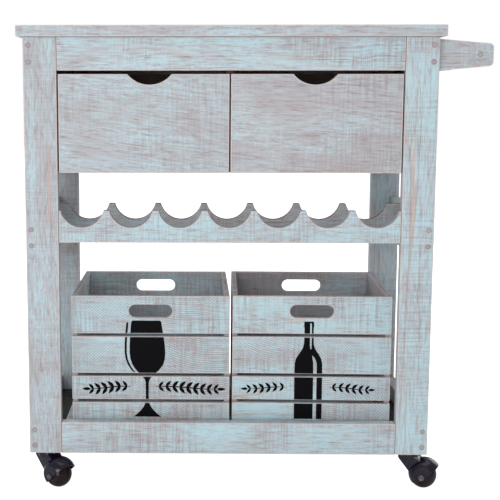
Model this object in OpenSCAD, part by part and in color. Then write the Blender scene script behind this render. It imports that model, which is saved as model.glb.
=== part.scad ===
// Bar cart on four ball casters: two drawers, a scalloped bottle rack, a slatted shelf with two
// lift-out crates, and a push handle on the right-hand side.
// X runs along the front from left to right, Y from front to back, Z up from the floor.
// The origin is on the floor, at the middle of the whole cart's outline with its handle.

/* [Frame] */
// Width across the outer edges of the legs
frame_w = 746; // [700:2:800]
// Depth from the front of the front legs to the back of the back legs
frame_d = 376; // [360:2:420]
// Length of a leg board
leg_h = 772; // [740:2:820]
// Width of a leg board, seen from the front
leg_w = 60; // [60:1:66]
// Thickness of the frame boards
board_t = 20; // [18:0.5:22]
// Height of the aprons under the worktop
apron_h = 60; // [50:1:60]

/* [Worktop] */
// Thickness of the worktop
top_t = 20; // [16:1:30]
// How far the worktop stands out past the legs
top_overhang = 11; // [5:1:20]
// Number of planks in the worktop
plank_count = 4; // [3:1:6]
// Open joint between two planks
plank_gap = 1; // [0.5:0.5:3]

/* [Drawers] */
// Height of a drawer front
drawer_front_h = 178; // [160:1:180]
// Gap between the apron and the drawer fronts
drawer_reveal = 6; // [5:0.5:10]
// Gap beside and between the drawer fronts
drawer_gap = 2.5; // [2:0.5:4]
// Width of the finger scoop at the top of a drawer front
scoop_w = 80; // [60:2:100]
// Depth of the finger scoop
scoop_depth = 19; // [12:1:30]
// Length of a drawer box behind its front
drawer_box_l = 310; // [260:5:315]
// Thickness of the drawer sides and back
drawer_side_t = 12; // [10:1:15]
// Height of the drawer sides
drawer_side_h = 142; // [100:2:146]

/* [Bottle rack] */
// Underside of the rack above the feet of the legs
rack_z = 400; // [380:2:420]
// Height of the scalloped rails
rack_h = 59; // [55:1:70]
// Number of bottles side by side
cradle_count = 7; // [5:1:7]
// Distance between two cradles
cradle_pitch = 90; // [86:1:90]
// Radius of a cradle
cradle_r = 40.7; // [38:0.1:43]
// Depth of a cradle below the top of its rail
cradle_depth = 31; // [25:1:38]
// Distance from the front of the front rail to the front of the rear rail
rack_spacing = 137; // [120:1:200]
// Height of the rack's side boards
rack_side_h = 90; // [60:2:100]
// How far the side boards' tops lie under the tops of the scalloped rails
rack_side_drop = 5; // [0:1:10]

/* [Base] */
// Height of the base rails
base_h = 60; // [55:1:66]
// Height of the shelf's surface above the feet of the legs
shelf_z = 43; // [38:1:48]
// Thickness of the shelf slats
slat_t = 12; // [8:1:15]
// Number of shelf slats
slat_count = 6; // [4:2:8]
// Gap between two shelf slats
slat_gap = 10; // [6:1:16]

/* [Crates] */
// Width of a crate
crate_w = 299; // [280:1:301]
// Depth of a crate
crate_d = 298; // [260:2:300]
// Thickness of the crate boards
crate_t = 10; // [8:0.5:12]
// Gap between two crate slats
crate_gap = 6; // [4:0.5:8]
// Length of a hand slot
slot_w = 82; // [70:1:110]
// Height of a hand slot
slot_h = 25; // [20:1:30]
// How far the right crate is turned, in degrees
crate_turn = -1.3; // [-1.4:0.1:0]

/* [Handle] */
// How far the handle reaches past the legs
handle_reach = 101; // [90:1:130]
// Height of a handle arm at its tip
handle_tip_h = 41; // [36:1:50]
// Diameter of the handle bar
handle_bar_d = 24; // [20:1:28]

/* [Casters] */
// Height of a caster, from the floor to the feet of the legs
caster_h = 67; // [66:1:72]
// Diameter of the ball
ball_d = 50; // [48:1:50]
// Width of the ball along its axle
ball_w = 41; // [36:1:41]
// Distance from the swivel axis to the axle
trail = 28.5; // [26:0.5:30]
// Side of the square mounting plate
plate_w = 38; // [38:1:40]

/* [Hidden] */
$fn = 64;

// Left and right, front and back, as signs
LEFT = -1;
RIGHT = 1;
FRONT = -1;
BACK = 1;

// Frame: the middle of the legs lies to the left of the origin, because of the handle
frame_cx = (top_overhang - handle_reach) / 2;
half_w = frame_w / 2;
half_d = frame_d / 2;
front_y = -half_d;
inner_x = half_w - leg_w;
side_x = half_w - board_t;
foot_z = caster_h;
top_z = foot_z + leg_h;
apron_z = top_z - apron_h;

// Screw plugs: radius, depth, distance from a leg's outer edge, and heights above the feet
plug_r = 5;
plug_depth = 6;
plug_clear = 0.05;
plug_inset = 10;
plug_pair = 15;
plug_heights = concat(
    [for (s = [-1, 1]) leg_h - apron_h / 2 + s * plug_pair],
    [for (s = [-1, 1]) rack_z + rack_h - rack_side_drop - rack_side_h / 2 + s * plug_pair],
    [for (s = [-1, 1]) base_h / 2 + s * plug_pair]
);

// Drawers: the fronts, and the boxes that run between the side panels and the divider
drawer_z = apron_z - drawer_reveal - drawer_front_h;
drawer_front_w = (2 * inner_x - 3 * drawer_gap) / 2;
scoop_r = (pow(scoop_w / 2, 2) + pow(scoop_depth, 2)) / (2 * scoop_depth);
// How far each scoop lies off the middle of its front, towards the divider
scoop_shift_left = 10.5;
scoop_shift_right = 2.7;
// Free space behind the fronts
front_clear = 1;
divider_t = 15;
panel_t = 15;
panel_inset = 5;
back_panel_t = 10;
runner_t = 10;
runner_reach = 14;
guide_h = 22;
kicker_t = 14;
run_clear = 0.4;
box_side_gap = 2;
box_outer = inner_x - 2 * box_side_gap;
box_inner = divider_t / 2 + box_side_gap;
box_z = drawer_z + runner_t + run_clear;
box_bottom_rise = 6;
box_bottom_t = 5;
box_back_drop = 10;

// Crates: where they stand, and the heights of the front and back slats from the bottom up
shelf_top = foot_z + shelf_z;
rack_side_z = foot_z + rack_z + rack_h - rack_side_drop - rack_side_h;
crate_slats = [45, 45, 71, 72];
crate_back_slats = [45, 45, 39, 104];
crate_h = crate_slats[0] + crate_slats[1] + crate_slats[2] + crate_slats[3] + 3 * crate_gap;
crate_rest = 0.3;
crate_setback = 38;
crate_right_setback = 42;
crate_parting_x = 5.75;
crate_parting = 5;
slot_drop = 29;
crate_bottom_t = 6;
crate_bottom_rise = 3;

// Corner blocks, cleats, and the ledges along the side rails
block_w = 38;
block_l = 75;
block_h = 28;
cleat_w = 20;
cleat_h = 15;
ledge_clear = 1;

// Handle
arm_t = board_t;
arm_top_drop = 3;
arm_h = apron_h - arm_top_drop;
arm_corner_r = 8;
bar_inset = 24;
handle_z = top_z - arm_top_drop - arm_h / 2;

// Casters: swivel axes, and the way each one trails, in degrees from +X
caster_x = half_w - leg_w / 2;
caster_inset = 24;
caster_y = half_d - caster_inset;
turn_front_left = -37;
turn_front_right = -19;
turn_back_left = 37;
turn_back_right = 19;
plate_t = 2.2;
plate_screw = 14.8;
screw_r = 2;
screw_head_r = 3;
screw_head_h = 1.4;
thrust_gap = 0.3;
cup_r = 17.5;
cup_h = 8;
pin_r = 4;
pin_l = 7;
fit_gap = 0.05;
axle_r = 3;
hood_r = 30.5;
hood_shift = 3;
hood_wall = 2;
hood_half = 24.5;
cheek_t = 3;
ball_gap = 1;
hood_cut = 4.4;
hood_cut_angle = 48;
hood_floor_gap = 11;
cap_r = 5.5;
cap_h = 1.5;
groove_w = 2;
groove_d = 2.5;
neck_inset = 3;
neck_rise = 7;
far = 100;

// A box from one corner to the opposite one
module board(low, high) {
    translate(low) cube(high - low);
}

// Everything is placed about the middle of the legs
module at_frame() {
    translate([frame_cx, 0, 0]) children();
}

// What is drawn for the right or the back, moved to its own side or end
module on_side(side) {
    if (side == LEFT) mirror([1, 0, 0]) children();
    else children();
}

module at_end(end) {
    if (end == FRONT) mirror([0, 1, 0]) children();
    else children();
}

// ---- Frame ----

module plug_places(side, end) {
    for (h = plug_heights)
        translate([side * (half_w - plug_inset), end * half_d, foot_z + h])
            rotate([end * -90, 0, 0]) children();
}

module leg(side, end) {
    at_frame() difference() {
        on_side(side) at_end(end)
            board([inner_x, half_d - board_t, foot_z], [half_w, half_d, top_z]);
        plug_places(side, end)
            translate([0, 0, -plug_depth]) cylinder(r = plug_r, h = plug_depth + 1);
    }
}

module plug() {
    translate([0, 0, plug_clear - plug_depth])
        cylinder(r = plug_r - plug_clear, h = plug_depth - plug_clear);
}

module screw_plugs() {
    color("tan") at_frame() {
        for (side = [LEFT, RIGHT], end = [FRONT, BACK]) plug_places(side, end) plug();
        for (end = [FRONT, BACK]) arm_plug_place(end) plug();
    }
}

module cross_board(end, z, h) {
    at_frame()
        translate([-inner_x, end == FRONT ? -half_d : half_d - board_t, z])
            cube([2 * inner_x, board_t, h]);
}

module side_board(side, z, h, t, inset, y_margin) {
    at_frame()
        translate([side == LEFT ? -half_w + inset : half_w - inset - t, -half_d + y_margin, z])
            cube([t, frame_d - 2 * y_margin, h]);
}

module worktop() {
    plank_w = (frame_d + 2 * top_overhang - (plank_count - 1) * plank_gap) / plank_count;
    color("lightblue") at_frame()
        for (i = [0 : plank_count - 1])
            translate([-half_w - top_overhang, front_y - top_overhang + i * (plank_w + plank_gap), top_z])
                cube([frame_w + 2 * top_overhang, plank_w, top_t]);
}

module back_panel() {
    color("silver") at_frame()
        board([-inner_x, half_d - panel_inset - back_panel_t, drawer_z],
              [inner_x, half_d - panel_inset, apron_z]);
}

module side_panel(side) {
    color("lightblue")
        side_board(side, drawer_z, apron_z - drawer_z, panel_t, panel_inset, board_t);
}

// ---- Drawer run ----

module drawer_divider() {
    color("silver") at_frame()
        board([-divider_t / 2, front_y + board_t + front_clear, drawer_z],
              [divider_t / 2, half_d - panel_inset - back_panel_t, apron_z]);
}

module drawer_runners() {
    y0 = front_y + board_t + front_clear;
    y1 = half_d - board_t;
    kicker_z = box_z + drawer_side_h + run_clear;
    color("burlywood") at_frame() for (side = [LEFT, RIGHT]) on_side(side) {
        board([box_outer - runner_reach, y0, drawer_z], [side_x, y1, drawer_z + runner_t]);
        board([box_outer + run_clear, y0, drawer_z + runner_t],
              [side_x, y1, drawer_z + runner_t + guide_h]);
        board([box_outer - runner_reach, y0, kicker_z], [side_x, y1, kicker_z + kicker_t]);
        board([divider_t / 2, y0, drawer_z],
              [box_inner + runner_reach, y1 - board_t, drawer_z + runner_t]);
        board([divider_t / 2, y0, kicker_z],
              [box_inner + runner_reach, y1 - board_t, kicker_z + kicker_t]);
    }
}

// ---- Drawers ----

module drawer_front(side) {
    x0 = drawer_gap / 2;
    scoop_x = x0 + drawer_front_w / 2 - (side == LEFT ? scoop_shift_left : scoop_shift_right);
    color("thistle") at_frame() on_side(side) difference() {
        board([x0, front_y, drawer_z],
              [x0 + drawer_front_w, front_y + board_t, drawer_z + drawer_front_h]);
        translate([scoop_x, front_y - 1, drawer_z + drawer_front_h - scoop_depth + scoop_r])
            rotate([-90, 0, 0]) cylinder(r = scoop_r, h = board_t + 2);
    }
}

module drawer_sides(side) {
    y0 = front_y + board_t;
    color("burlywood") at_frame() on_side(side) {
        for (x = [box_inner, box_outer - drawer_side_t])
            translate([x, y0, box_z]) cube([drawer_side_t, drawer_box_l, drawer_side_h]);
    }
}

module drawer_back(side) {
    y1 = front_y + board_t + drawer_box_l;
    color("burlywood") at_frame() on_side(side)
        board([box_inner + drawer_side_t, y1 - drawer_side_t, box_z],
              [box_outer - drawer_side_t, y1, box_z + drawer_side_h - box_back_drop]);
}

module drawer_bottom(side) {
    y0 = front_y + board_t;
    color("wheat") at_frame() on_side(side)
        board([box_inner + drawer_side_t, y0, box_z + box_bottom_rise],
              [box_outer - drawer_side_t, y0 + drawer_box_l - drawer_side_t,
               box_z + box_bottom_rise + box_bottom_t]);
}

// ---- Bottle rack ----

module scalloped_rail(y, half_l) {
    at_frame() difference() {
        board([-half_l, y, foot_z + rack_z], [half_l, y + board_t, foot_z + rack_z + rack_h]);
        for (i = [0 : cradle_count - 1])
            translate([(i - (cradle_count - 1) / 2) * cradle_pitch, y - 1,
                       foot_z + rack_z + rack_h - cradle_depth + cradle_r])
                rotate([-90, 0, 0]) cylinder(r = cradle_r, h = board_t + 2);
    }
}

// ---- Base ----

module shelf_slats() {
    slat_w = (2 * inner_x - (slat_count - 1) * slat_gap) / slat_count;
    color("silver") at_frame()
        for (i = [0 : slat_count - 1])
            translate([-inner_x + i * (slat_w + slat_gap), front_y + board_t, shelf_top - slat_t])
                cube([slat_w, frame_d - 2 * board_t, slat_t]);
}

module shelf_cleats() {
    ledge_l = frame_d - 2 * (board_t + block_l + ledge_clear);
    color("burlywood") at_frame() translate([0, 0, shelf_top - slat_t - cleat_h]) {
        for (y = [front_y + board_t, half_d - board_t - cleat_w])
            translate([-inner_x, y, 0]) cube([2 * inner_x, cleat_w, cleat_h]);
        for (side = [LEFT, RIGHT]) on_side(side)
            translate([inner_x + ledge_clear, -ledge_l / 2, 0])
                cube([side_x - inner_x - ledge_clear, ledge_l, cleat_h]);
    }
}

module corner_blocks() {
    color("rosybrown") at_frame()
        for (side = [LEFT, RIGHT], end = [FRONT, BACK])
            on_side(side) at_end(end)
                translate([side_x, half_d - board_t, foot_z])
                    linear_extrude(block_h)
                        polygon([[0, 0], [-block_w, 0], [-block_w, -block_l / 2],
                                 [-block_w / 3, -block_l], [0, -block_l]]);
}

// ---- Crates: drawn with the left front corner at the origin ----

module at_crate(side) {
    at_frame()
        if (side == LEFT)
            translate([crate_parting_x - crate_parting / 2 - crate_w, front_y + crate_setback,
                       shelf_top + crate_rest]) children();
        else
            translate([crate_parting_x + crate_parting / 2, front_y + crate_right_setback,
                       shelf_top + crate_rest])
                rotate([0, 0, crate_turn]) children();
}

function slat_foot(slats, i) = i == 0 ? 0 : slat_foot(slats, i - 1) + slats[i - 1] + crate_gap;

module crate_slatted_wall(slats) {
    difference() {
        for (i = [0 : 3]) translate([0, 0, slat_foot(slats, i)]) cube([crate_w, crate_t, slats[i]]);
        translate([crate_w / 2, crate_t + 1, crate_h - slot_drop]) rotate([90, 0, 0])
            linear_extrude(crate_t + 2) {
                square([slot_w - slot_h, slot_h], center = true);
                for (s = [-1, 1]) translate([s * (slot_w - slot_h) / 2, 0]) circle(d = slot_h);
            }
    }
}

module crate_front(side) {
    color("lightblue") at_crate(side) crate_slatted_wall(crate_slats);
}

module crate_back(side) {
    color("lightblue") at_crate(side) translate([0, crate_d - crate_t, 0])
        crate_slatted_wall(crate_back_slats);
}

module crate_sides(side) {
    color("silver") at_crate(side)
        for (x = [0, crate_w - crate_t])
            translate([x, crate_t, 0]) cube([crate_t, crate_d - 2 * crate_t, crate_h]);
}

module crate_bottom(side) {
    color("silver") at_crate(side)
        translate([crate_t, crate_t, crate_bottom_rise])
            cube([crate_w - 2 * crate_t, crate_d - 2 * crate_t, crate_bottom_t]);
}

// ---- Handle ----

module arm_plug_place(end) {
    translate([half_w + handle_reach - bar_inset, end * (half_d - board_t), handle_z])
        rotate([end * -90, 0, 0]) children();
}

// Outline of an arm in X and Z, from the leg's inner edge to the rounded tip
function corner_arc(x, z, from) =
    [for (a = [0 : 15 : 90]) [x + arm_corner_r * cos(from + a), z + arm_corner_r * sin(from + a)]];

module arm_outline() {
    tip_x = half_w + handle_reach;
    tip_z = handle_tip_h / 2;
    polygon(concat(
        [[inner_x, arm_h / 2], [inner_x, -arm_h / 2], [half_w, -arm_h / 2]],
        corner_arc(tip_x - arm_corner_r, arm_corner_r - tip_z, -90),
        corner_arc(tip_x - arm_corner_r, tip_z - arm_corner_r, 0),
        [[half_w, arm_h / 2]]
    ));
}

module handle_arm(end) {
    color("silver") at_frame() difference() {
        translate([0, end == FRONT ? front_y + board_t + arm_t : half_d - board_t, handle_z])
            rotate([90, 0, 0]) linear_extrude(arm_t) arm_outline();
        arm_plug_place(end)
            translate([0, 0, -plug_depth]) cylinder(r = plug_r, h = plug_depth + 1);
    }
}

module handle_bar() {
    bar_l = frame_d - 2 * board_t - 2 * arm_t;
    color("silver") at_frame()
        translate([half_w + handle_reach - bar_inset, bar_l / 2, handle_z])
            rotate([90, 0, 0]) cylinder(d = handle_bar_d, h = bar_l);
}

// ---- Casters: drawn about the swivel axis, trailing along +X, on the floor ----

module at_caster(side, end, turn) {
    at_frame() translate([side * caster_x, end * caster_y, 0]) rotate([0, 0, turn]) children();
}

module caster_plates() {
    color("dimgray") for (side = [LEFT, RIGHT], end = [FRONT, BACK])
        at_caster(side, end, 0) {
            difference() {
                translate([-plate_w / 2, -plate_w / 2, foot_z - plate_t])
                    cube([plate_w, plate_w, plate_t]);
                for (x = [-1, 1], y = [-1, 1])
                    translate([x * plate_screw, y * plate_screw, foot_z - plate_t - 1])
                        cylinder(r = screw_r + fit_gap, h = plate_t + 2);
            }
            translate([0, 0, foot_z - plate_t - pin_l]) cylinder(r = pin_r, h = pin_l);
        }
}

module caster_screws() {
    color("gray") for (side = [LEFT, RIGHT], end = [FRONT, BACK], x = [-1, 1], y = [-1, 1])
        at_caster(side, end, 0)
            translate([x * plate_screw, y * plate_screw, foot_z - plate_t]) {
                cylinder(r = screw_r, h = plate_t);
                translate([0, 0, -screw_head_h]) cylinder(r = screw_head_r, h = screw_head_h);
            }
}

module slab(half) {
    translate([-far, -half, -far]) cube([2 * far, 2 * half, 2 * far]);
}

module caster_hood(side, end, turn) {
    cup_top = foot_z - plate_t - thrust_gap;
    color("#26252b") at_caster(side, end, turn) difference() {
        union() {
            translate([trail, 0, ball_d / 2]) intersection() {
                translate([hood_shift, 0, hood_shift]) sphere(r = hood_r);
                slab(hood_half);
            }
            translate([0, 0, cup_top - cup_h]) cylinder(r = cup_r, h = cup_h);
            rotate([90, 0, 0]) translate([0, 0, neck_inset - cup_r])
                linear_extrude(2 * (cup_r - neck_inset))
                    polygon([[-cup_r, cup_top - neck_inset], [cup_r, cup_top - neck_inset],
                             [trail, ball_d], [trail - ball_d / 4, ball_d / 2],
                             [trail - ball_d / 2, ball_d / 2 + neck_rise],
                             [1 - cup_r, cup_top - cup_h]]);
        }
        translate([trail, 0, ball_d / 2]) {
            intersection() {
                union() {
                    sphere(r = ball_d / 2 + ball_gap);
                    translate([hood_shift, 0, hood_shift]) sphere(r = hood_r - hood_wall);
                }
                slab(hood_half - cheek_t);
            }
            rotate([0, hood_cut_angle, 0]) translate([hood_cut, -far / 2, -far / 2]) cube(far);
            rotate([90, 0, 0]) cylinder(r = axle_r, h = far, center = true);
        }
        translate([-far / 2, -far / 2, hood_floor_gap - far]) cube([2 * far, far, far]);
        translate([0, 0, cup_top - cup_h - 1]) cylinder(r = pin_r + fit_gap, h = cup_h + 2);
    }
}

module caster_axle(side, end, turn) {
    color("gray") at_caster(side, end, turn) translate([trail, 0, ball_d / 2]) rotate([90, 0, 0]) {
        cylinder(r = axle_r, h = 2 * hood_half, center = true);
        for (s = [-1, 1]) translate([0, 0, s * (hood_half + cap_h / 2)])
            cylinder(r = cap_r, h = cap_h, center = true);
    }
}

module caster_ball(side, end, turn) {
    color("#3a2c2a") at_caster(side, end, turn) translate([trail, 0, ball_d / 2]) difference() {
        intersection() {
            sphere(d = ball_d);
            slab(ball_w / 2);
        }
        rotate([90, 0, 0]) cylinder(r = axle_r + fit_gap, h = far, center = true);
        rotate([90, 0, 0]) difference() {
            cylinder(d = ball_d + 2, h = groove_w, center = true);
            cylinder(d = ball_d - 2 * groove_d, h = groove_w + 2, center = true);
        }
    }
}

color("lightblue") leg(LEFT, FRONT);  // leg_front_left
color("lightblue") leg(RIGHT, FRONT);  // leg_front_right
color("lightblue") leg(LEFT, BACK);  // leg_back_left
color("lightblue") leg(RIGHT, BACK);  // leg_back_right
screw_plugs();
worktop();
color("lightblue") cross_board(FRONT, apron_z, apron_h);  // apron_front
color("lightblue") cross_board(BACK, apron_z, apron_h);  // apron_back
color("lightblue") side_board(LEFT, apron_z, apron_h, board_t, 0, board_t);  // apron_left
color("lightblue") side_board(RIGHT, apron_z, apron_h, board_t, 0, board_t + arm_t);  // apron_right
back_panel();
side_panel(LEFT);  // side_panel_left
side_panel(RIGHT);  // side_panel_right
drawer_divider();
drawer_runners();
color("lightblue") scalloped_rail(front_y, inner_x);  // rack_rail_front
color("cadetblue") scalloped_rail(front_y + rack_spacing, side_x);  // rack_rail_rear
color("lightblue")  // rack_side_left
        side_board(LEFT, rack_side_z, rack_side_h, board_t, 0, board_t);
color("lightblue")  // rack_side_right
        side_board(RIGHT, rack_side_z, rack_side_h, board_t, 0, board_t);
color("lightblue") cross_board(FRONT, foot_z, base_h);  // base_rail_front
color("lightblue") cross_board(BACK, foot_z, base_h);  // base_rail_back
color("lightblue") side_board(LEFT, foot_z, base_h, board_t, 0, board_t);  // base_rail_left
color("lightblue") side_board(RIGHT, foot_z, base_h, board_t, 0, board_t);  // base_rail_right
shelf_cleats();
shelf_slats();
corner_blocks();
handle_arm(FRONT);  // handle_arm_front
handle_arm(BACK);  // handle_arm_back
handle_bar();
drawer_front(LEFT);  // drawer_left_front
drawer_sides(LEFT);  // drawer_left_sides
drawer_back(LEFT);  // drawer_left_back
drawer_bottom(LEFT);  // drawer_left_bottom
drawer_front(RIGHT);  // drawer_right_front
drawer_sides(RIGHT);  // drawer_right_sides
drawer_back(RIGHT);  // drawer_right_back
drawer_bottom(RIGHT);  // drawer_right_bottom
crate_front(LEFT);  // crate_left_front
crate_back(LEFT);  // crate_left_back
crate_sides(LEFT);  // crate_left_sides
crate_bottom(LEFT);  // crate_left_bottom
crate_front(RIGHT);  // crate_right_front
crate_back(RIGHT);  // crate_right_back
crate_sides(RIGHT);  // crate_right_sides
crate_bottom(RIGHT);  // crate_right_bottom
caster_plates();
caster_screws();
caster_hood(LEFT, FRONT, turn_front_left);  // caster_hood_front_left
caster_hood(RIGHT, FRONT, turn_front_right);  // caster_hood_front_right
caster_hood(LEFT, BACK, turn_back_left);  // caster_hood_back_left
caster_hood(RIGHT, BACK, turn_back_right);  // caster_hood_back_right
caster_axle(LEFT, FRONT, turn_front_left);  // caster_axle_front_left
caster_axle(RIGHT, FRONT, turn_front_right);  // caster_axle_front_right
caster_axle(LEFT, BACK, turn_back_left);  // caster_axle_back_left
caster_axle(RIGHT, BACK, turn_back_right);  // caster_axle_back_right
caster_ball(LEFT, FRONT, turn_front_left);  // caster_ball_front_left
caster_ball(RIGHT, FRONT, turn_front_right);  // caster_ball_front_right
caster_ball(LEFT, BACK, turn_back_left);  // caster_ball_back_left
caster_ball(RIGHT, BACK, turn_back_right);  // caster_ball_back_right
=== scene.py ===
"""Wooden bar cart: brushed-on pale blue paint over brown boards, printed crates and ball casters."""

import math
import random

import bmesh
import bpy
from mathutils import Matrix, Vector


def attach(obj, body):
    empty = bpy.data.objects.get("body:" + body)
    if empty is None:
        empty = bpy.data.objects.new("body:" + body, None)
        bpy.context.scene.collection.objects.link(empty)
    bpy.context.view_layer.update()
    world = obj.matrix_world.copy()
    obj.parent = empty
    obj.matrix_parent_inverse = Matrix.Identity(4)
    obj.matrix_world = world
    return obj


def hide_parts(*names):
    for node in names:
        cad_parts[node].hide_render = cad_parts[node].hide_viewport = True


bl_info = {
    "name": "Bar Cart",
    "version": (1, 0, 0),
    "blender": (4, 5, 0),
    "location": "View3D > Sidebar > Bar Cart",
    "description": "Dresses the packed bar cart: boards, crates, drawers, handle and casters",
    "category": "Object",
}

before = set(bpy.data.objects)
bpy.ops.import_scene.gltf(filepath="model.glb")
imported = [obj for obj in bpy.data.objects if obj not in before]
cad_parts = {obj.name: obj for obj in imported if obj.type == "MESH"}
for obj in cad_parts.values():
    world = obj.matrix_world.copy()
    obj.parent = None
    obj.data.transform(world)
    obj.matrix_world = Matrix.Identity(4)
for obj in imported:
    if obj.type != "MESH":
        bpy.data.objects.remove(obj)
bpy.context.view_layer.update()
MM = 0.001
ENDS = ("front_left", "front_right", "back_left", "back_right")
SIDES = ("left", "right")


def linear(red, green, blue):
    """A display colour of 0 to 255 as the linear colour that shaders use."""
    def one(value):
        value /= 255
        return value / 12.92 if value <= 0.04045 else ((value + 0.055) / 1.055) ** 2.4
    return (one(red), one(green), one(blue), 1.0)


def shade(tone, by):
    """A colour made darker or lighter, and still opaque."""
    return tuple(part * by for part in tone[:3]) + (1.0,)


# ---- Settings ----

def colour(name, description, rgb):
    return bpy.props.FloatVectorProperty(
        name=name, description=description, subtype="COLOR", size=4, min=0, max=1, default=linear(*rgb))


def length(name, description, default):
    return bpy.props.FloatProperty(
        name=name, description=description, unit="LENGTH", min=0, default=default, precision=5)


def watts(name, description, default):
    return bpy.props.FloatProperty(name=name, description=description, unit="POWER", min=0, default=default)


def strength(name, description, default):
    return bpy.props.FloatProperty(name=name, description=description, min=0, default=default)


class CartWood(bpy.types.PropertyGroup):
    paint: colour("Paint", "Pale blue paint where it is thick", (184, 214, 223))
    thin_paint: colour("Thin paint", "Paint where the wood shows through", (184, 199, 206))
    bare: colour("Bare wood", "Mauve-grey wood under the paint", (179, 171, 175))
    dark_grain: colour("Dark grain", "Brown lines of the grain", (142, 128, 128))
    rubbed: colour("Rubbed edge", "Raw wood where an edge is rubbed through", (205, 152, 124))
    # The eased colour also paints a pale rim near every edge: partly chalky wear, partly painted highlight
    eased: colour("Eased edge", "Thin chalky paint on the eased edges", (206, 197, 196))
    raw: colour("Raw timber", "Unpainted timber inside the cart", (168, 146, 132))
    # Painted shadow: a near-black colour on the blocks and cleats under the shelf, so the gap beside the shelf
    # looks as dark as its shadow
    stain: colour("Shadow", "Dark stain on the blocks and cleats under the shelf", (44, 40, 40))
    ease: length("Ease", "Width of the eased edge of a board", 1.4 * MM)
    drawer_ease: length("Drawer ease", "Width of the eased edge of a drawer front", 1.8 * MM)


class CartPrint(bpy.types.PropertyGroup):
    ink: colour("Ink", "Black ink of the crate prints", (11, 10, 13))
    lift: length("Lift", "How far the ink stands off the wood", 0.1 * MM)


class CartCasters(bpy.types.PropertyGroup):
    hood: colour("Hood", "Black plastic of the hoods", (20, 15, 31))
    ball: colour("Ball", "Very dark brown plastic of the balls", (27, 13, 17))
    steel: colour("Steel", "Zinc-plated steel of the screws", (150, 150, 154))
    axle: colour("Axle", "Blackened steel of the axles", (112, 108, 116))


class CartStage(bpy.types.PropertyGroup):
    floor: colour("Floor", "Pale floor", (250, 250, 250))
    key: watts("Key", "Power of the large front light", 62)
    top: watts("Top", "Power of the light overhead", 26)
    back: watts("Back", "Power of each light behind", 32)
    sky: strength("Sky", "Strength of the light from all round", 0.38)
    glow: strength("Glow", "How far the floor is lifted towards white", 0.9)


# ---- Shader maths ----

class Value:
    """A socket of a finish. Python's operators join it to numbers and other sockets."""

    def __init__(self, finish, socket):
        self.finish, self.socket = finish, socket

    def _math(self, operation, *others):
        return self.finish.node("ShaderNodeMath", {"operation": operation}, dict(enumerate(others)))

    def __add__(self, other):
        return self._math("ADD", self, other)

    def __sub__(self, other):
        return self._math("SUBTRACT", self, other)

    def __rsub__(self, other):
        return self._math("SUBTRACT", other, self)

    def __mul__(self, other):
        return self._math("MULTIPLY", self, other)

    __radd__, __rmul__ = __add__, __mul__

    def fraction(self):
        return self._math("FRACT", self)

    def size(self):
        return self._math("ABSOLUTE", self)

    def least(self, other):
        return self._math("MINIMUM", self, other)

    def most(self, other):
        return self._math("MAXIMUM", self, other)

    def wave(self):
        return self._math("SINE", self)

    def ramp(self, low, high):
        """0 at low, 1 at high, with a soft shoulder at each end."""
        return self.finish.node("ShaderNodeMapRange", {"interpolation_type": "SMOOTHSTEP"},
                                {"Value": self, "From Min": low, "From Max": high})


class Finish:
    """One procedural material."""

    def __init__(self, name):
        self.material = bpy.data.materials.new(name)
        self.material.use_nodes = True
        self.nodes, self.links = self.material.node_tree.nodes, self.material.node_tree.links
        self.nodes.clear()

    def node(self, kind, settings=None, sockets=None, out=0):
        """Makes one node: its settings first, then the values or links of its sockets."""
        made = self.nodes.new(kind)
        for key, value in (settings or {}).items():
            setattr(made, key, value)
        for key, value in (sockets or {}).items():
            if isinstance(value, Value):
                self.links.new(value.socket, made.inputs[key])
            else:
                made.inputs[key].default_value = value
        return Value(self, made.outputs[out])

    def attribute(self, name, vector=True):
        return self.node("ShaderNodeAttribute", {"attribute_name": name}, out=1 if vector else 2)

    def parts(self, vector):
        split = self.node("ShaderNodeSeparateXYZ", None, {0: vector}).socket.node
        return [Value(self, out) for out in split.outputs]

    def joined(self, x, y, z):
        return self.node("ShaderNodeCombineXYZ", None, {0: x, 1: y, 2: z})

    def vectors(self, operation, *vectors, out=0):
        return self.node("ShaderNodeVectorMath", {"operation": operation}, dict(enumerate(vectors)), out)

    def stretch(self, vector, by):
        return self.vectors("MULTIPLY", vector, by)

    def place(self):
        """Where a point is on its own piece."""
        return self.node("ShaderNodeTexCoord", out=3)

    def noise(self, vector, by, detail=2.0, roughness=0.5, distortion=0.0):
        """Noise with so many lumps to the metre along each axis."""
        return self.node("ShaderNodeTexNoise", None, {
            "Vector": self.stretch(vector, by), "Scale": 1.0, "Detail": detail, "Roughness": roughness,
            "Distortion": distortion})

    def mix(self, amount, first, second):
        """Colour first where amount is 0, second where it is 1."""
        return self.node("ShaderNodeMix", {"data_type": "RGBA"}, {0: amount, 6: first, 7: second}, out=2)

    def bump(self, height, strength, distance):
        return self.node("ShaderNodeBump", None,
                         {"Height": height, "Strength": strength, "Distance": distance})

    def output(self, shader):
        self.links.new(shader.socket, self.nodes.new("ShaderNodeOutputMaterial").inputs["Surface"])
        return self.material

    def surface(self, **sockets):
        names = {"colour": "Base Color", "ior": "IOR"}
        return self.output(self.node("ShaderNodeBsdfPrincipled", None, {
            names.get(key, key.capitalize()): value for key, value in sockets.items()}))


# Lumps to the metre along, across and through a board
FIBRES = (30, 340, 340)
MOTTLES = (150, 260, 260)
STREAKS = (5, 150, 150)
BANDS = (2.5, 42, 42)
PATCHES = (8, 15, 15)
RINGS = (1.1, 9, 9)
KNOTS = (4.2, 4.6, 4.6)
SAW_MARKS = (300, 11, 11)
CRACKS = (1.0, 22, 22)
CHAFES = (46, 90, 90)
RINGS_TO_A_LUMP = 26
# Turn of the round saw's arcs for each metre from their centre
ARC_TURN = 1520
# How far the long scratches slope: across their run, and along it
SCRATCH_SLOPES = (0.12, 0.09)


def near_edge(half, at):
    """How far a point of a board is from the nearest edge between two of its faces."""
    from_end, from_edge, from_face = (h - a.size() for h, a in zip(half, at))
    return from_end, from_end.least(from_edge).most(from_end.most(from_edge).least(from_face))


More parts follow.
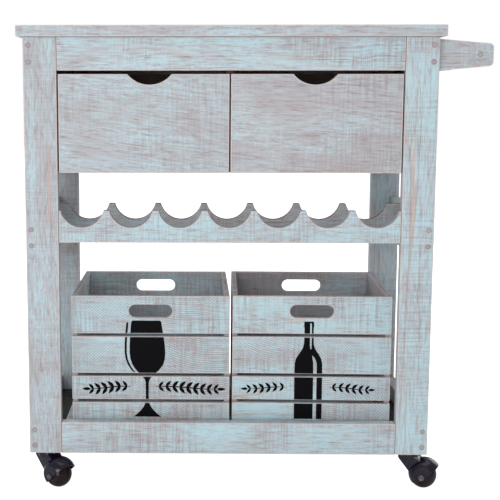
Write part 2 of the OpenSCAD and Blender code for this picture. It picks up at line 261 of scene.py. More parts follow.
def saw_arcs(f, board, batch, along, across, phase, streak, fibre):
    """Fine arcs left by a round saw, about a centre beside the board."""
    centre = f.vectors("ADD", f.stretch(batch, (0.022, 0.004, 0)), (along, across, 0))
    reach = f.vectors("SUBTRACT", f.stretch(board, (1, 1, 0)), centre)
    turn = f.vectors("LENGTH", reach, out=1) * ARC_TURN + streak * 1.4 + phase
    return (turn.wave() * 0.5 + 0.5).ramp(0.35, 0.95) * fibre.ramp(0.3, 0.55)


def scratches(f, along, across, deep, batch, patch, more_saw):
    """Long pale scratches, a few along the board and a few across it."""
    cross_slope, long_slope = SCRATCH_SLOPES
    tilted = f.joined(along - across * cross_slope, across + along * long_slope, deep)
    tilted = f.vectors("ADD", tilted, batch)
    crosswise = f.noise(tilted, (17, 0.9, 0.9), 1, 0.5)
    lengthwise = f.noise(tilted, (0.5, 16, 16), 1, 0.5)
    score = (1 - (crosswise - 0.5).size().ramp(0.0, 0.022)) * 0.7
    score = score.most((1 - (lengthwise - 0.5).size().ramp(0.0, 0.014)) * 0.8) * more_saw * 0.55
    return score * patch.ramp(0.4, 0.55)


def wood_finish(name, cover, saw, hatch, paint, thin, bare, dark, rubbed, eased):
    """Paint dragged along the grain, so that it catches the ridges and leaves grain and saw marks bare."""
    f = Finish(name)
    board, half, batch = f.attribute("board"), f.attribute("half"), f.attribute("batch")
    more_cover, lean, more_saw = f.parts(f.attribute("look"))
    worn, butt, painted_shade = (f.attribute(key, vector=False) for key in ("worn", "butt", "painted_shade"))
    along, across, deep = f.parts(board)
    from_end, near = near_edge(f.parts(half), (along, across, deep))

    # Where the grain runs: it leans with its board and bends round the knots
    spot = f.vectors("ADD", board, batch)
    knot_at = f.node("ShaderNodeTexVoronoi", {"feature": "F1"},
                     {"Vector": f.stretch(spot, KNOTS), "Scale": 1.0})
    knot = 1 - knot_at.ramp(0.02, 0.05)
    round_knot = (1 - knot_at.ramp(0.02, 0.22)) * 0.05
    grain = f.vectors("ADD", f.joined(along, across + along * lean, deep), batch)
    grain = f.vectors("ADD", grain, f.joined(0, round_knot, 0))

    fibre = f.noise(grain, FIBRES, 5, 0.78, 0.25)
    mottle = f.noise(spot, MOTTLES, 3, 0.7)
    streak = f.noise(grain, STREAKS, 3, 0.55, 0.3)
    band = f.noise(grain, BANDS, 2, 0.5)
    patch = f.noise(grain, PATCHES, 3, 0.55)
    ring = f.noise(grain, RINGS, 1.5, 0.4, 0.4) * RINGS_TO_A_LUMP + streak * 0.5
    ring = (ring.fraction() * 2 - 1).size().ramp(0.62, 1.0)
    seam = f.noise(grain, CRACKS, 2, 0.5, 0.3)
    crack = (1 - (seam - 0.5).size().ramp(0.002, 0.014)) * f.noise(grain, (4, 12, 12), 1, 0.5).ramp(0.5, 0.62)
    score = scratches(f, along, across, deep, batch, patch, more_saw)

    # What the saw left: straight marks on every board, and slanting arcs on the crates
    kerf = f.noise(spot, SAW_MARKS, 4, 0.7)
    cut = (1 - kerf.ramp(0.34, 0.6)) * (f.noise(spot, (6, 9, 9), 1, 0.5).ramp(0.34, 0.62) * more_saw)
    slant = kerf
    if hatch:
        crossing = f.noise(spot, (5, 3, 3), 0, 0.5).ramp(0.47, 0.53)
        slant = saw_arcs(f, board, batch, -0.1, -0.16, 0, streak, fibre) * (1 - crossing) \
            + saw_arcs(f, board, batch, -0.03, 0.19, 1, streak, fibre) * crossing
    slant = slant * f.noise(spot, (6, 10, 10), 1, 0.5).ramp(0.42, 0.56)

    # How high the wood stands under the brush, and so how much paint it took
    height = cover + more_cover + (patch - 0.5) * 1.0 + (band - 0.5) * 0.35 + (streak - 0.5) * 0.6 \
        + (fibre - 0.5) * 2.1 + (mottle - 0.5) * 1.3 * patch.ramp(0.35, 0.6) \
        - ring * 0.1 - cut * saw - slant * hatch - knot * 0.5
    painted = height.ramp(0.02, 0.98)

    line = (1 - fibre.ramp(0.3, 0.46)) * (1 - band.ramp(0.35, 0.75) * 0.6)
    under = f.mix(line * 0.75 + ring * 0.25 + knot * 0.8, bare, dark)
    warm = f.noise(grain, (20, 120, 120), 2, 0.6).ramp(0.66, 0.8) * (1 - painted)
    under = f.mix(warm * 0.7, under, rubbed)
    tone = f.mix(painted, under, f.mix(height.ramp(0.5, 1.2), thin, paint))
    grime = (1 - fibre.ramp(0.34, 0.5)) * 0.3 + slant * (hatch * 0.5) + cut * 0.3
    tone = f.mix(grime, tone, dark)
    tone = f.mix(crack * 0.5, tone, f.mix(streak.ramp(0.4, 0.6), dark, rubbed))
    tone = f.mix(score, tone, f.mix(0.5, paint, eased))

    # Pale edges, partly chalky wear and partly painted highlight; rubbed bevels; bare end grain; dark joints
    # and painted shade on boards that sit in shadow
    # Pale rim within a few millimetres of every edge, in the eased colour: partly chalky wear, partly painted
    # highlight of the edges catching the light
    tone = f.mix((1 - near.ramp(1.2 * MM, 3.4 * MM)) * 0.45, tone, eased)
    chafe = f.noise(grain, CHAFES, 3, 0.6).ramp(0.52, 0.68)
    tone = f.mix(worn, tone, f.mix(chafe * 0.7, eased, rubbed))
    tone = f.mix((1 - from_end.ramp(0.2 * MM, 0.5 * MM)) * 0.35, tone, bare)
    # Dark joints where a board butts against a leg, and painted shade that darkens boards sitting in shadow
    # towards near-black
    shut = butt * (1 - from_end.ramp(0.5 * MM, 1.6 * MM)) * 0.8
    tone = f.mix(shut.most(painted_shade), tone, shade(dark, 0.25))

    relief = fibre * 0.6 + mottle * 0.5 + band * 0.2 + painted * 0.25 \
        - cut * 0.6 - slant * hatch - crack * 0.5 - score * 0.4
    return f.surface(colour=tone, roughness=0.74 - painted * 0.14 + (fibre - 0.5) * 0.1,
                     normal=f.bump(relief, 0.5, 0.5 * MM))


# ---- Boards ----

# Points closer than this are one point, and faces that meet flatter than this are one face
SAME_POINT, FLAT = 0.002 * MM, math.radians(0.6)
# Edges sharper than this are eased, but not those that run round a screw plug
SHARP_EDGE, PLUG_REACH = math.radians(28), 7 * MM


def loose_parts(node):
    """The node's separate boards, each as its own bmesh with flat faces joined up."""
    whole = bmesh.new()
    whole.from_mesh(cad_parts[node].data)
    bmesh.ops.remove_doubles(whole, verts=whole.verts, dist=SAME_POINT)
    bmesh.ops.dissolve_limit(whole, angle_limit=FLAT, verts=whole.verts, edges=whole.edges)
    left, found = set(whole.verts), []
    while left:
        group, waiting = set(), [left.pop()]
        while waiting:
            vert = waiting.pop()
            group.add(vert)
            for edge in vert.link_edges:
                other = edge.other_vert(vert)
                if other in left:
                    left.discard(other)
                    waiting.append(other)
        found.append(group)
    boards = []
    for group in sorted(found, key=lambda g: tuple(round(v, 4) for v in min(tuple(p.co) for p in g))):
        part, same = bmesh.new(), {}
        for vert in group:
            same[vert] = part.verts.new(vert.co)
        for face in {f for vert in group for f in vert.link_faces}:
            part.faces.new([same[v] for v in face.verts])
        part.normal_update()
        boards.append(part)
    whole.free()
    return boards


def level_turn(part):
    """How far a board is turned about the vertical, from its longest level edge."""
    best, turn = 0.0, 0.0
    for edge in part.edges:
        run = edge.verts[1].co - edge.verts[0].co
        if abs(run.z) < 1e-5 and run.length > best + 1e-5:
            best, turn = run.length, math.atan2(run.y, run.x)
    return (turn + math.pi / 4) % (math.pi / 2) - math.pi / 4


class Timber:
    """Gathers boards into one mesh, with each board's own coordinates for the grain."""

    def __init__(self, name, seed, butt=0.0, painted_shade=0.0):
        self.name, self.dice, self.butt, self.painted_shade = name, random.Random(seed), butt, painted_shade
        self.points, self.faces, self.worn = [], [], []
        self.board, self.half, self.batch, self.look = [], [], [], []

    def add(self, part, ease, keep=(), look=None):
        """Adds one board, with its sharp edges eased and its grain along its longest side."""
        turn = level_turn(part)
        back = Matrix.Rotation(-turn, 3, "Z")
        local = [back @ v.co for v in part.verts]
        low = Vector([min(p[i] for p in local) for i in range(3)])
        high = Vector([max(p[i] for p in local) for i in range(3)])
        order = sorted(range(3), key=lambda i: low[i] - high[i])
        middle, batch = (low + high) / 2, [self.dice.uniform(0, 9) for _ in range(3)]
        look = look or (self.dice.uniform(-0.06, 0.06), self.dice.uniform(-0.02, 0.02), 1.0)
        sharp = []
        for edge in part.edges:
            if len(edge.link_faces) == 2 and edge.calc_face_angle(0) > SHARP_EDGE:
                centre = (edge.verts[0].co + edge.verts[1].co) / 2
                if not any((centre - plug).length < PLUG_REACH for plug in keep):
                    sharp.append(edge)
        worn = set()
        if ease:
            made = bmesh.ops.bevel(part, geom=sharp, offset=ease, offset_type="OFFSET", segments=2,
                                   profile=0.6, affect="EDGES", clamp_overlap=True)
            worn = set(made["faces"])
        start = len(self.points)
        part.verts.index_update()
        for vert in part.verts:
            here = back @ vert.co - middle
            self.points.append(vert.co.copy())
            self.board.append([here[i] for i in order])
            self.half.append([(high[i] - low[i]) / 2 for i in order])
            self.batch.append(batch)
            self.look.append(look)
        for face in part.faces:
            self.faces.append([start + v.index for v in face.verts])
            self.worn.append(1.0 if face in worn else 0.0)
        part.free()

    def make(self, material, body, nodes=()):
        """Turns the gathered boards into one piece."""
        mesh = bpy.data.meshes.new(self.name)
        mesh.from_pydata(self.points, [], self.faces)
        for key, rows in (("board", self.board), ("half", self.half), ("batch", self.batch),
                          ("look", self.look)):
            mesh.attributes.new(key, "FLOAT_VECTOR", "POINT").data.foreach_set(
                "vector", [v for row in rows for v in row])
        mesh.attributes.new("worn", "FLOAT", "FACE").data.foreach_set("value", self.worn)
        # Face attributes: dark joints at butted ends, and the painted shade of boards that sit in shadow
        for key, value in (("butt", self.butt), ("painted_shade", self.painted_shade)):
            mesh.attributes.new(key, "FLOAT", "FACE").data.foreach_set("value", [value] * len(self.worn))
        return settle(mesh, self.name, material, body, nodes)


def settle(mesh, name, material, body, nodes=(), sharp=25):
    """Gives a finished mesh its material and puts it on its body."""
    mesh.validate()
    mesh.materials.append(material)
    mesh.polygons.foreach_set("use_smooth", [True] * len(mesh.polygons))
    mesh.set_sharp_from_angle(angle=math.radians(sharp))
    piece = bpy.data.objects.new(name, mesh)
    bpy.context.scene.collection.objects.link(piece)
    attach(piece, body)
    if nodes:
        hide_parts(*nodes)
    return piece


# How some boards differ: more or less paint, the slope of the grain, and how strong the saw marks are
LOOKS = {
    "leg_front_left": (-0.1, 0.0, 0.5), "leg_front_right": (0.22, 0.0, 0.8),
    "leg_back_left": (0.05, 0.0, 0.6), "leg_back_right": (0.14, 0.0, 0.6),
    "worktop": (-0.12, 0.0, 0.25), "apron_front": (0.06, 0.0, 1.1), "handle_arm_front": (0.06, 0.03, 0.4),
    "drawer_left_front": (0.1, 0.11, 0.5), "drawer_right_front": (0.0, 0.05, 0.85),
    "rack_rail_front": (0.12, 0.0, 0.8), "rack_rail_rear": (-0.1, 0.0, 1.0),
    "base_rail_front": (0.08, 0.0, 1.1), "shelf_slats": (0.35, 0.0, 1.0),
    "crate_left_front": (0.14, 0.0, 1.0), "crate_left_sides": (-0.1, 0.0, 1.0),
    "crate_left_back": (0.1, 0.0, 1.0), "crate_right_front": (0.16, 0.0, 1.0),
    "crate_right_sides": (-0.3, 0.0, 1.0), "crate_right_back": (-0.2, 0.0, 1.0),
}
# Boards whose ends close against a leg
BUTTED = ("apron_front", "apron_back", "rack_rail_front", "rack_rail_rear", "base_rail_front",
          "base_rail_back")
# Painted shade: how far some boards that sit in shadow are darkened towards near-black
SHADOWED_BOARDS = {
    "drawer_divider": 0.88, "drawer_runners": 0.85, "drawer_left_sides": 0.4, "drawer_right_sides": 0.4,
    "drawer_left_back": 0.5, "drawer_right_back": 0.5, "rack_rail_rear": 0.3, "base_rail_left": 0.3,
    "base_rail_right": 0.3, "crate_right_back": 0.1, "crate_right_sides": 0.06,
}


def boards_of(nodes, material, body, ease, keep=()):
    """One piece for each node, made of its boards with eased edges."""
    for node in nodes:
        timber = Timber(node + "_timber", node, float(node in BUTTED), SHADOWED_BOARDS.get(node, 0.0))
        for part in loose_parts(node):
            timber.add(part, ease, keep, LOOKS.get(node))
        timber.make(material, body, [node])


_finishes = {}


def finish(kind):
    """The wood finishes, each made once."""
    if kind not in _finishes:
        wood = bpy.context.scene.cart_wood
        paint, thin, bare, dark, rubbed, eased, raw, stain = (tuple(getattr(wood, tone)) for tone in (
            "paint", "thin_paint", "bare", "dark_grain", "rubbed", "eased", "raw", "stain"))
        if kind == "painted":
            made = wood_finish("painted_wood", 0.7, 0.4, 0.0, paint, thin, bare, dark, rubbed, eased)
        elif kind == "crate":
            made = wood_finish("crate_wood", 0.8, 0.4, 0.6, paint, thin, bare, dark, rubbed, eased)
        elif kind == "washed":
            made = wood_finish("washed_wood", 0.48, 0.36, 0.0, paint, thin, bare, dark, rubbed, eased)
        elif kind == "plug":
            made = wood_finish("plug_wood", 0.2, 0.2, 0.0, bare, dark, bare, dark, dark, dark)
        # Painted shadow: near-black wood for the blocks and cleats that fill the shaded gap beside the shelf
        elif kind == "shaded":
            deep = shade(stain, 0.5)
            made = wood_finish("painted_shadow_wood", 0.3, 0.3, 0.0, stain, stain, deep, deep, stain, stain)
        else:
            made = wood_finish("inner_wood", 0.12, 0.3, 0.0, thin, bare, raw, dark, rubbed, raw)
        _finishes[kind] = made
    return _finishes[kind]


class CartOperator:
    bl_options = {"REGISTER", "UNDO"}


class CART_OT_legs(CartOperator, bpy.types.Operator):
    """Makes the four leg boards"""
    bl_idname = "cart.legs"
    bl_label = "Legs"

    def execute(self, context):
        keep = [plug_middle(part) for part in loose_parts("screw_plugs")]
        boards_of([f"leg_{end}" for end in ENDS], finish("painted"), "cart",
                  context.scene.cart_wood.ease, keep)
        return {"FINISHED"}


def plug_middle(part):
    """The middle of the end of a screw plug that shows."""
    low = Vector([min(v.co[i] for v in part.verts) for i in range(3)])
    high = Vector([max(v.co[i] for v in part.verts) for i in range(3)])
    middle = (low + high) / 2
    return Vector((middle.x, low.y if middle.y < 0 else high.y, middle.z))


class CART_OT_plugs(CartOperator, bpy.types.Operator):
    """Makes the wood plugs over the screws"""
    bl_idname = "cart.plugs"
    bl_label = "Screw plugs"

    def execute(self, context):
        boards_of(["screw_plugs"], finish("plug"), "cart", 0.3 * MM)
        return {"FINISHED"}


class CART_OT_worktop(CartOperator, bpy.types.Operator):
    """Makes the planked worktop"""
    bl_idname = "cart.worktop"
    bl_label = "Worktop"

    def execute(self, context):
        boards_of(["worktop"], finish("painted"), "cart", context.scene.cart_wood.ease * 1.3)
        return {"FINISHED"}


class CART_OT_aprons(CartOperator, bpy.types.Operator):
    """Makes the aprons under the worktop"""
    bl_idname = "cart.aprons"
    bl_label = "Aprons"

    def execute(self, context):
        boards_of([f"apron_{side}" for side in ("front", "back", "left", "right")], finish("painted"),
                  "cart", context.scene.cart_wood.ease)
        return {"FINISHED"}


class CART_OT_drawer_case(CartOperator, bpy.types.Operator):
    """Makes the panels, divider and runners round the drawers"""
    bl_idname = "cart.drawer_case"
    bl_label = "Drawer case"

    def execute(self, context):
        ease = context.scene.cart_wood.ease * 0.5
        boards_of(["side_panel_left", "side_panel_right"], finish("painted"), "cart", ease)
        boards_of(["back_panel", "drawer_divider", "drawer_runners"], finish("inner"), "cart",
                  ease)
        return {"FINISHED"}


class CART_OT_rack(CartOperator, bpy.types.Operator):
    """Makes the scalloped bottle rack"""
    bl_idname = "cart.rack"
    bl_label = "Bottle rack"

    def execute(self, context):
        boards_of(["rack_rail_front", "rack_rail_rear", "rack_side_left", "rack_side_right"],
                  finish("painted"), "cart", context.scene.cart_wood.ease)
        return {"FINISHED"}


class CART_OT_base(CartOperator, bpy.types.Operator):
    """Makes the base rails, corner blocks and cleats"""
    bl_idname = "cart.base"
    bl_label = "Base"

    def execute(self, context):
        ease = context.scene.cart_wood.ease
        boards_of([f"base_rail_{side}" for side in ("front", "back", "left", "right")], finish("painted"),
                  "cart", ease)
        # The corner blocks and cleats are painted near-black as painted shadow in the gap beside the shelf
        boards_of(["corner_blocks", "shelf_cleats"], finish("shaded"), "cart", ease)
        return {"FINISHED"}


class CART_OT_shelf(CartOperator, bpy.types.Operator):
    """Makes the slatted shelf"""
    bl_idname = "cart.shelf"
    bl_label = "Shelf"

    def execute(self, context):
        boards_of(["shelf_slats"], finish("washed"), "cart", context.scene.cart_wood.ease)
        return {"FINISHED"}


class CART_OT_handle(CartOperator, bpy.types.Operator):
    """Makes the push handle"""
    bl_idname = "cart.handle"
    bl_label = "Handle"

    def execute(self, context):
        keep = [plug_middle(part) for part in loose_parts("screw_plugs")]
        boards_of(["handle_arm_front", "handle_arm_back", "handle_bar"], finish("washed"), "cart",
                  context.scene.cart_wood.drawer_ease, keep)
        return {"FINISHED"}


class CART_OT_drawers(CartOperator, bpy.types.Operator):
    """Makes the two drawers"""
    bl_idname = "cart.drawers"
    bl_label = "Drawers"

    def execute(self, context):
        for side in SIDES:
            body = f"drawer_{side}"
            wood = context.scene.cart_wood
            boards_of([body + "_front"], finish("washed"), body, wood.drawer_ease)
            boards_of([f"{body}_{part}" for part in ("sides", "back", "bottom")], finish("inner"), body,
                      wood.ease * 0.6)
        return {"FINISHED"}


class CART_OT_crates(CartOperator, bpy.types.Operator):
    """Makes the two crates"""
    bl_idname = "cart.crates"
    bl_label = "Crates"

    def execute(self, context):
        for side in SIDES:
            body = f"crate_{side}"
            boards_of([f"{body}_{part}" for part in ("front", "back", "sides", "bottom")], finish("crate"),
                      body, context.scene.cart_wood.ease)
        return {"FINISHED"}


# ---- Crate prints ----

# A stemmed glass, a bottle and their shines, from the top down, as the height, the left edge and the
# right edge on the crate's face, in millimetres
GLASS = (
    (204, 116, 167), (202, 113.5, 169.5), (196, 112.5, 170.5), (178, 111.2, 173.5), (158, 109.8, 176.2),
    (142, 109.6, 177.4), (130, 111.2, 176.6), (119, 115, 173.5), (110, 120.5, 167), (103, 127, 160),
    (97, 132.5, 153.5), (92, 137.5, 148.5), (85, 139.9, 146.1), (60, 140.3, 145.7), (45, 139.6, 146.4),
    (38, 136.8, 149.2), (30, 131, 155), (23, 124, 162), (17, 116.5, 169.5))
GLASS_SHINE = (
    (201, 104.6, 106.4), (198, 103.6, 107.6), (180, 101.9, 106), (160, 100.5, 104.6), (142, 100.4, 104.4),
    (130, 102.2, 106.2), (119, 106.2, 110.2), (110, 111.8, 115.6), (104, 117.5, 120.5))
BOTTLE = (
    (203, 136.2, 152.8), (201, 135.3, 153.7), (193, 135, 154), (191, 136, 153), (160, 135.4, 153.6),
    (152, 133.4, 155.6), (145, 129.2, 159.8), (138, 124.4, 164.6), (131, 120.4, 168.2), (122, 118.4, 170.2),
    (100, 118, 170.6), (14, 118, 170.6))
NECK_SHINE = ((200, 147, 148.6), (196, 146.6, 149.6), (160, 146.4, 149.8), (150, 147.2, 149.6))
BODY_SHINE = ((137, 151, 152), (132, 152, 156.5), (124, 153.2, 159.4), (112, 153.6, 160), (14, 153.6, 160))
# Where the sprigs run on the crates' third slat, and how they are drawn, in millimetres
SPRIG_HEIGHT = 74
LEFT_SPRIGS, RIGHT_SPRIGS = ((112, 22), (158, 289)), ((105, 19), (183, 269))
LEFT_SPRIG = {"thick": 2.4, "leaf_long": 17, "pitch": 12.5, "sway": 2.6}
RIGHT_SPRIG = {"thick": 1.8, "leaf_long": 14, "pitch": 12, "sway": 2.2}
# The step of a curved outline, and how far the ink stops short of a slat's edges, in millimetres
OUTLINE_STEP, INK_MARGIN = 1.5, 0.9


def width_at(table, height):
    """The left and right edge of a shape at a height, or None outside it."""
    if not table[-1][0] <= height <= table[0][0]:
        return None
    for (high, left_1, right_1), (low, left_0, right_0) in zip(table, table[1:]):
        if low <= height <= high:
            t = (height - low) / (high - low)
            return left_0 + (left_1 - left_0) * t, right_0 + (right_1 - right_0) * t


def strip(table, low, high, shines=()):
    """Outlines of the part of a shape between two heights, with its shines left out."""
    low, high = max(low, table[-1][0]), min(high, table[0][0])
    cuts = sorted({low, high, *(h for s in shines for h in (s[0][0], s[-1][0]) if low < h < high)})
    outlines = []
    for bottom, top in zip(cuts, cuts[1:]):
        rows = max(2, math.ceil((top - bottom) / OUTLINE_STEP))
        levels = [bottom + (top - bottom) * i / rows for i in range(rows + 1)]
        gap = next((s for s in shines if width_at(s, (bottom + top) / 2)), None)
        edges = [width_at(table, h) for h in levels]
        if gap is None:
            spans = [edges]
        else:
            both = [(edge, width_at(gap, h)) for edge, h in zip(edges, levels)]
            spans = [[(edge[0], hole[0]) for edge, hole in both], [(hole[1], edge[1]) for edge, hole in both]]
        for span in spans:
            outlines.append([(left, h) for (left, _), h in zip(span, levels)]
                            + [(right, h) for (_, right), h in reversed(list(zip(span, levels)))])
    return outlines


def stroke(path, thick):
    """The outline of a line that swells in its middle and comes to a point at both ends."""
    left, right = [], []
    for i, (x, z) in enumerate(path):
        (ax, az), (bx, bz) = path[max(i - 1, 0)], path[min(i + 1, len(path) - 1)]
        run = math.hypot(bx - ax, bz - az)
        t = i / (len(path) - 1)
        half = thick / 2 * (0.12 + 0.88 * math.sin(math.pi * t) ** 0.6)
        left.append((x - (bz - az) / run * half, z + (bx - ax) / run * half))
        right.append((x + (bz - az) / run * half, z - (bx - ax) / run * half))
    return left + right[::-1]


def leaf(x, z, angle, long, wide):
    """A pointed leaf that grows from a point."""
    side = [(long * i / 8, wide / 2 * math.sin(math.pi * (i / 8) ** 0.8)) for i in range(9)]
    ring = side + [(a, -b) for a, b in side[-2:0:-1]]
    c, s = math.cos(angle), math.sin(angle)
    return [(x + a * c - b * s, z + a * s + b * c) for a, b in ring]


def sprig(start, end, thick, leaf_long, pitch, sway):
    """A leafy branch along a slat: a swaying stem with pairs of leaves and a leaf at its tip."""
    def stem(t):
        return start + (end - start) * t, SPRIG_HEIGHT + sway * math.sin(math.pi * (1.5 * t + 0.25))

    way = 1 if end > start else -1
    tip = 1 - leaf_long * 0.8 / abs(end - start)
    shapes = [stroke([stem(tip * i / 30) for i in range(31)], thick)]
    pairs = int(abs(end - start) * tip / pitch)
    for k in range(pairs):
        t = tip * (k + 0.55) / pairs
        (x, z), (next_x, next_z) = stem(t), stem(t + 0.01)
        run = math.atan2(next_z - z, next_x - x)
        swell = 0.72 + 0.28 * math.sin(math.pi * (k + 1) / (pairs + 1))
        for up in (1, -1):
            shapes.append(leaf(x, z, run + up * way * 0.82, leaf_long * swell, leaf_long * swell * 0.4))
    (x, z), (next_x, next_z) = stem(tip - 0.02), stem(tip)
    shapes.append(leaf(next_x, next_z, math.atan2(next_z - z, next_x - x), leaf_long, leaf_long * 0.36))
    return shapes


def printed(node, outlines_of, name, body, ink, lift):
    """Thin ink on the front of each slat of a crate."""
    slats = sorted(loose_parts(node), key=lambda part: min(v.co.z for v in part.verts))
    face = Matrix.Rotation(level_turn(slats[0]), 3, "Z")

    def from_corner(point):
        level = face.transposed() @ point
        return level.y + level.x + point.z

    corner = min((v.co for v in slats[0].verts), key=from_corner).copy()
    spans = []
    for part in slats:
        heights = [v.co.z - corner.z for v in part.verts]
        spans.append((min(heights), max(heights)))
        part.free()
    points, faces = [], []
    for low, high in spans:
        for ring in outlines_of(low / MM + INK_MARGIN, high / MM - INK_MARGIN):
            start, count = len(points), len(ring)
            for depth in (-lift, 0.02 * MM):
                points += [corner + face @ Vector((x * MM, depth, z * MM)) for x, z in ring]
            front = [start + i for i in range(count)]
            back = [i + count for i in front]
            faces += [front, back[::-1]]
            faces += [[front[i - 1], back[i - 1], back[i], front[i]] for i in range(count)]
    mesh = bpy.data.meshes.new(name)
    mesh.from_pydata(points, [], faces)
    bm = bmesh.new()
    bm.from_mesh(mesh)
    bmesh.ops.recalc_face_normals(bm, faces=bm.faces)
    bm.to_mesh(mesh)
    bm.free()
    return settle(mesh, name, ink, body)


class CART_OT_prints(CartOperator, bpy.types.Operator):
    """Prints a glass and leafy sprigs on the left crate, and a bottle and sprigs on the right one"""
    bl_idname = "cart.prints"
    bl_label = "Crate prints"

    def execute(self, context):
        look = context.scene.cart_print
        f = Finish("crate_ink")
        worn = f.noise(f.place(), (260, 260, 700), 4, 0.65)
        ink = tuple(look.ink)
        material = f.surface(colour=f.mix(worn.ramp(0.55, 0.8), ink, shade(ink, 1.8)),
                             roughness=0.5 + worn * 0.15, normal=f.bump(worn, 0.2, 0.1 * MM), ior=1.14)

        def sprigs(low, high, runs, drawn):
            if not low < SPRIG_HEIGHT < high:
                return []
            return [shape for start, end in runs for shape in sprig(start, end, **drawn)]

        def on_left(low, high):
            shapes = [shape for table in (GLASS, GLASS_SHINE) if high > table[-1][0] and low < table[0][0]
                      for shape in strip(table, low, high)]
            return shapes + sprigs(low, high, LEFT_SPRIGS, LEFT_SPRIG)

        def on_right(low, high):
            shapes = strip(BOTTLE, low, high, (NECK_SHINE, BODY_SHINE))
            return shapes + sprigs(low, high, RIGHT_SPRIGS, RIGHT_SPRIG)

        printed("crate_left_front", on_left, "crate_left_print", "crate_left", material, look.lift)
        printed("crate_right_front", on_right, "crate_right_print", "crate_right", material, look.lift)
        return {"FINISHED"}


# ---- Casters ----

# Edges between these angles are where a moulded dome runs into a flat cheek
BLUNT_EDGES = (math.radians(26), math.radians(44))
# Edges sharper than this are rounded
HARD_EDGE = math.radians(34)


def plastic_finish(name, tone, roughness, scuff, ior):
    """Smooth moulded plastic, with faint clouds of scuffing."""
    f = Finish(name)
    grit = f.noise(f.place(), (900, 900, 900), 3, 0.6)
    cloud = f.noise(f.place(), (60, 60, 60), 2, 0.5)
    return f.surface(colour=f.mix(cloud.ramp(0.35, 0.75), tone, shade(tone, 1.5)),
                     roughness=roughness + (cloud - 0.5) * scuff, normal=f.bump(grit, 0.12, 0.1 * MM), ior=ior)


def steel_finish(name, tone):
    """Plated steel with a fine spangle."""
    f = Finish(name)
    spangle = f.noise(f.place(), (500, 500, 500), 3, 0.6)
    return f.surface(colour=f.mix(spangle.ramp(0.35, 0.65), shade(tone, 0.7), tone), metallic=1.0,
                     roughness=0.3 + spangle * 0.15, normal=f.bump(spangle, 0.1, 0.1 * MM))


def rounded(part, low, high, width, segments):
    """Rounds the edges of a part whose faces meet at more than one angle and less than another."""
    edges = [e for e in part.edges if len(e.link_faces) == 2 and low < e.calc_face_angle(0) < high]
    bmesh.ops.bevel(part, geom=edges, offset=width, offset_type="OFFSET", segments=segments, profile=0.5,
                    affect="EDGES", clamp_overlap=True)


def soften(part, width):
    """Rounds the blunt edges where a moulded dome runs into a flat cheek."""
    rounded(part, *BLUNT_EDGES, width, 4)


def dimple(part, width, depth):
    """Sinks the middle of the two largest flat ends of a turned piece."""
    ends = sorted(part.faces, key=lambda face: face.calc_area())[-2:]
    for face in ends:
        bmesh.ops.inset_region(part, faces=[face], thickness=width, depth=0)
        bmesh.ops.inset_region(part, faces=[face], thickness=width * 0.3, depth=-depth)


def smooth_part(node, name, material, body, ease, shape=None):
    """A turned or moulded piece: the node's own form with rounded edges."""
    points, faces = [], []
    for part in loose_parts(node):
        if shape:
            shape(part)
        rounded(part, HARD_EDGE, math.inf, ease, 2)
        start = len(points)
        part.verts.index_update()
        points += [v.co.copy() for v in part.verts]
        faces += [[start + v.index for v in face.verts] for face in part.faces]
        part.free()
    mesh = bpy.data.meshes.new(name)
    mesh.from_pydata(points, [], faces)
    return settle(mesh, name, material, body, [node], 32)


class CART_OT_casters(CartOperator, bpy.types.Operator):
    """Makes the four hooded ball casters"""
    bl_idname = "cart.casters"
    bl_label = "Casters"

    def execute(self, context):
        look = context.scene.cart_casters
        hood = plastic_finish("hood_plastic", tuple(look.hood), 0.16, 0.08, 1.46)
        ball = plastic_finish("ball_plastic", tuple(look.ball), 0.14, 0.08, 1.34)
        steel = steel_finish("zinc_steel", tuple(look.steel))
        dark_steel = steel_finish("axle_steel", tuple(look.axle))
        smooth_part("caster_plates", "caster_plates_steel", hood, "cart", 0.3 * MM)
        smooth_part("caster_screws", "caster_screws_steel", steel, "cart", 0.2 * MM)
        for end in ENDS:
            smooth_part(f"caster_hood_{end}", f"caster_{end}_hood", hood, f"swivel_{end}",
                        0.5 * MM, lambda part: soften(part, 4 * MM))
            smooth_part(f"caster_axle_{end}", f"caster_{end}_axle", dark_steel, f"swivel_{end}",
                        0.3 * MM, lambda part: dimple(part, 1.7 * MM, 0.9 * MM))
            smooth_part(f"caster_ball_{end}", f"caster_{end}_ball", ball, f"wheel_{end}",
                        0.4 * MM)
        return {"FINISHED"}


# ---- Stage ----

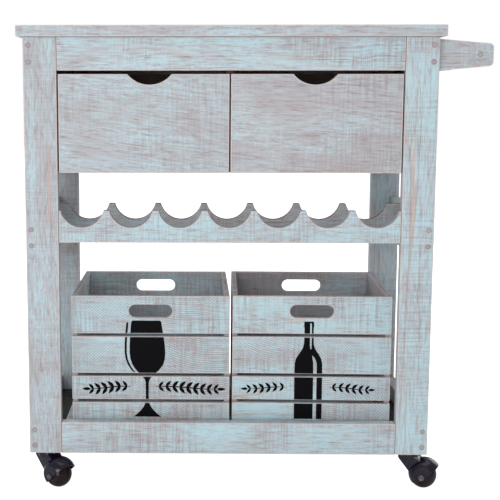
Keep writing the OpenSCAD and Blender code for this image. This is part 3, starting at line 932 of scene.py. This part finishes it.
class CART_OT_stage(CartOperator, bpy.types.Operator):
    """Lays the floor and sets the lights and the camera"""
    bl_idname = "cart.stage"
    bl_label = "Stage"

    def execute(self, context):
        look = context.scene.cart_stage
        mesh = bpy.data.meshes.new("floor")
        bm = bmesh.new()
        bmesh.ops.create_grid(bm, x_segments=8, y_segments=8, size=14)
        bm.to_mesh(mesh)
        bm.free()
        floor = bpy.data.objects.new("floor", mesh)
        context.scene.collection.objects.link(floor)
        f = Finish("floor_paper")
        fleck = f.noise(f.place(), (3, 3, 3), 3, 0.5)
        pale = tuple(look.floor)
        seen = f.node("ShaderNodeLightPath")
        bare = f.node("ShaderNodeBsdfDiffuse", None, {"Color": f.mix(fleck, pale, shade(pale, 0.985))})
        glow = f.node("ShaderNodeEmission", None, {"Strength": look.glow})
        lifted = f.node("ShaderNodeAddShader", None, {0: bare, 1: glow})
        mesh.materials.append(f.output(f.node("ShaderNodeMixShader", None, {0: seen, 1: bare, 2: lifted})))

        def area(name, place, target, power, width):
            """A square light that faces its target."""
            lamp = bpy.data.lights.new(name, "AREA")
            lamp.energy, lamp.shape, lamp.size = power, "SQUARE", width
            holder = bpy.data.objects.new(name, lamp)
            holder.location = place
            holder.rotation_euler = (Vector(target) - Vector(place)).to_track_quat("-Z", "Y").to_euler()
            context.scene.collection.objects.link(holder)

        area("key", (-0.8, -3.4, 1.2), (0, 0, 0.4), look.key, 2.2)
        area("overhead", (0.2, 0.2, 3.2), (0, 0, 0), look.top, 3.0)
        area("back_left", (-2.2, 3.0, 1.7), (0, 0, 0.4), look.back, 2.2)
        area("back_right", (2.6, 2.4, 1.7), (0, 0, 0.4), look.back, 2.2)
        world = bpy.data.worlds.new("studio")
        world.use_nodes = True
        nodes, links = world.node_tree.nodes, world.node_tree.links
        nodes.clear()
        sky, seen, join, out = (nodes.new(k) for k in (
            "ShaderNodeBackground", "ShaderNodeBackground", "ShaderNodeMixShader", "ShaderNodeOutputWorld"))
        sky.inputs["Strength"].default_value = look.sky
        sky.inputs["Color"].default_value = seen.inputs["Color"].default_value = (1, 1, 1, 1)
        seen.inputs["Strength"].default_value = 1.0
        path = nodes.new("ShaderNodeLightPath")
        links.new(path.outputs["Is Camera Ray"], join.inputs[0])
        links.new(sky.outputs[0], join.inputs[1])
        links.new(seen.outputs[0], join.inputs[2])
        links.new(join.outputs[0], out.inputs["Surface"])
        context.scene.world = world
        context.scene.view_settings.view_transform = "Standard"

        lens = bpy.data.cameras.new("camera")
        lens.lens, lens.sensor_width, lens.shift_x = 79.65, 36.0, 0.1507
        lens.clip_start, lens.clip_end = 0.05, 60
        camera = bpy.data.objects.new("camera", lens)
        camera.location = (-0.108, -2.1965, 0.7357)
        camera.rotation_euler = (math.radians(82.02), 0, math.radians(1.054))
        context.scene.collection.objects.link(camera)
        context.scene.camera = camera
        return {"FINISHED"}


class CART_PT_sidebar(bpy.types.Panel):
    bl_label = "Bar Cart"
    bl_idname = "CART_PT_sidebar"
    bl_space_type = "VIEW_3D"
    bl_region_type = "UI"
    bl_category = "Bar Cart"

    def draw(self, context):
        for name in GROUPS:
            box = self.layout.box()
            group = getattr(context.scene, name)
            for key in group.__annotations__:
                box.prop(group, key)
        for operator in STEPS:
            self.layout.operator(operator.bl_idname)


GROUPS = {
    "cart_wood": CartWood, "cart_print": CartPrint, "cart_casters": CartCasters, "cart_stage": CartStage}
STEPS = (
    CART_OT_legs, CART_OT_plugs, CART_OT_worktop, CART_OT_aprons, CART_OT_drawer_case, CART_OT_rack,
    CART_OT_base, CART_OT_shelf, CART_OT_handle, CART_OT_drawers, CART_OT_crates, CART_OT_prints,
    CART_OT_casters, CART_OT_stage)


def register():
    for cls in (*GROUPS.values(), *STEPS, CART_PT_sidebar):
        bpy.utils.register_class(cls)
    for name, group in GROUPS.items():
        setattr(bpy.types.Scene, name, bpy.props.PointerProperty(type=group))


def unregister():
    for name in GROUPS:
        delattr(bpy.types.Scene, name)
    for cls in reversed((*GROUPS.values(), *STEPS, CART_PT_sidebar)):
        bpy.utils.unregister_class(cls)


def main():
    register()
    for step in STEPS:
        group, name = step.bl_idname.split(".")
        getattr(getattr(bpy.ops, group), name)()


if __name__ == "__main__":
    main()
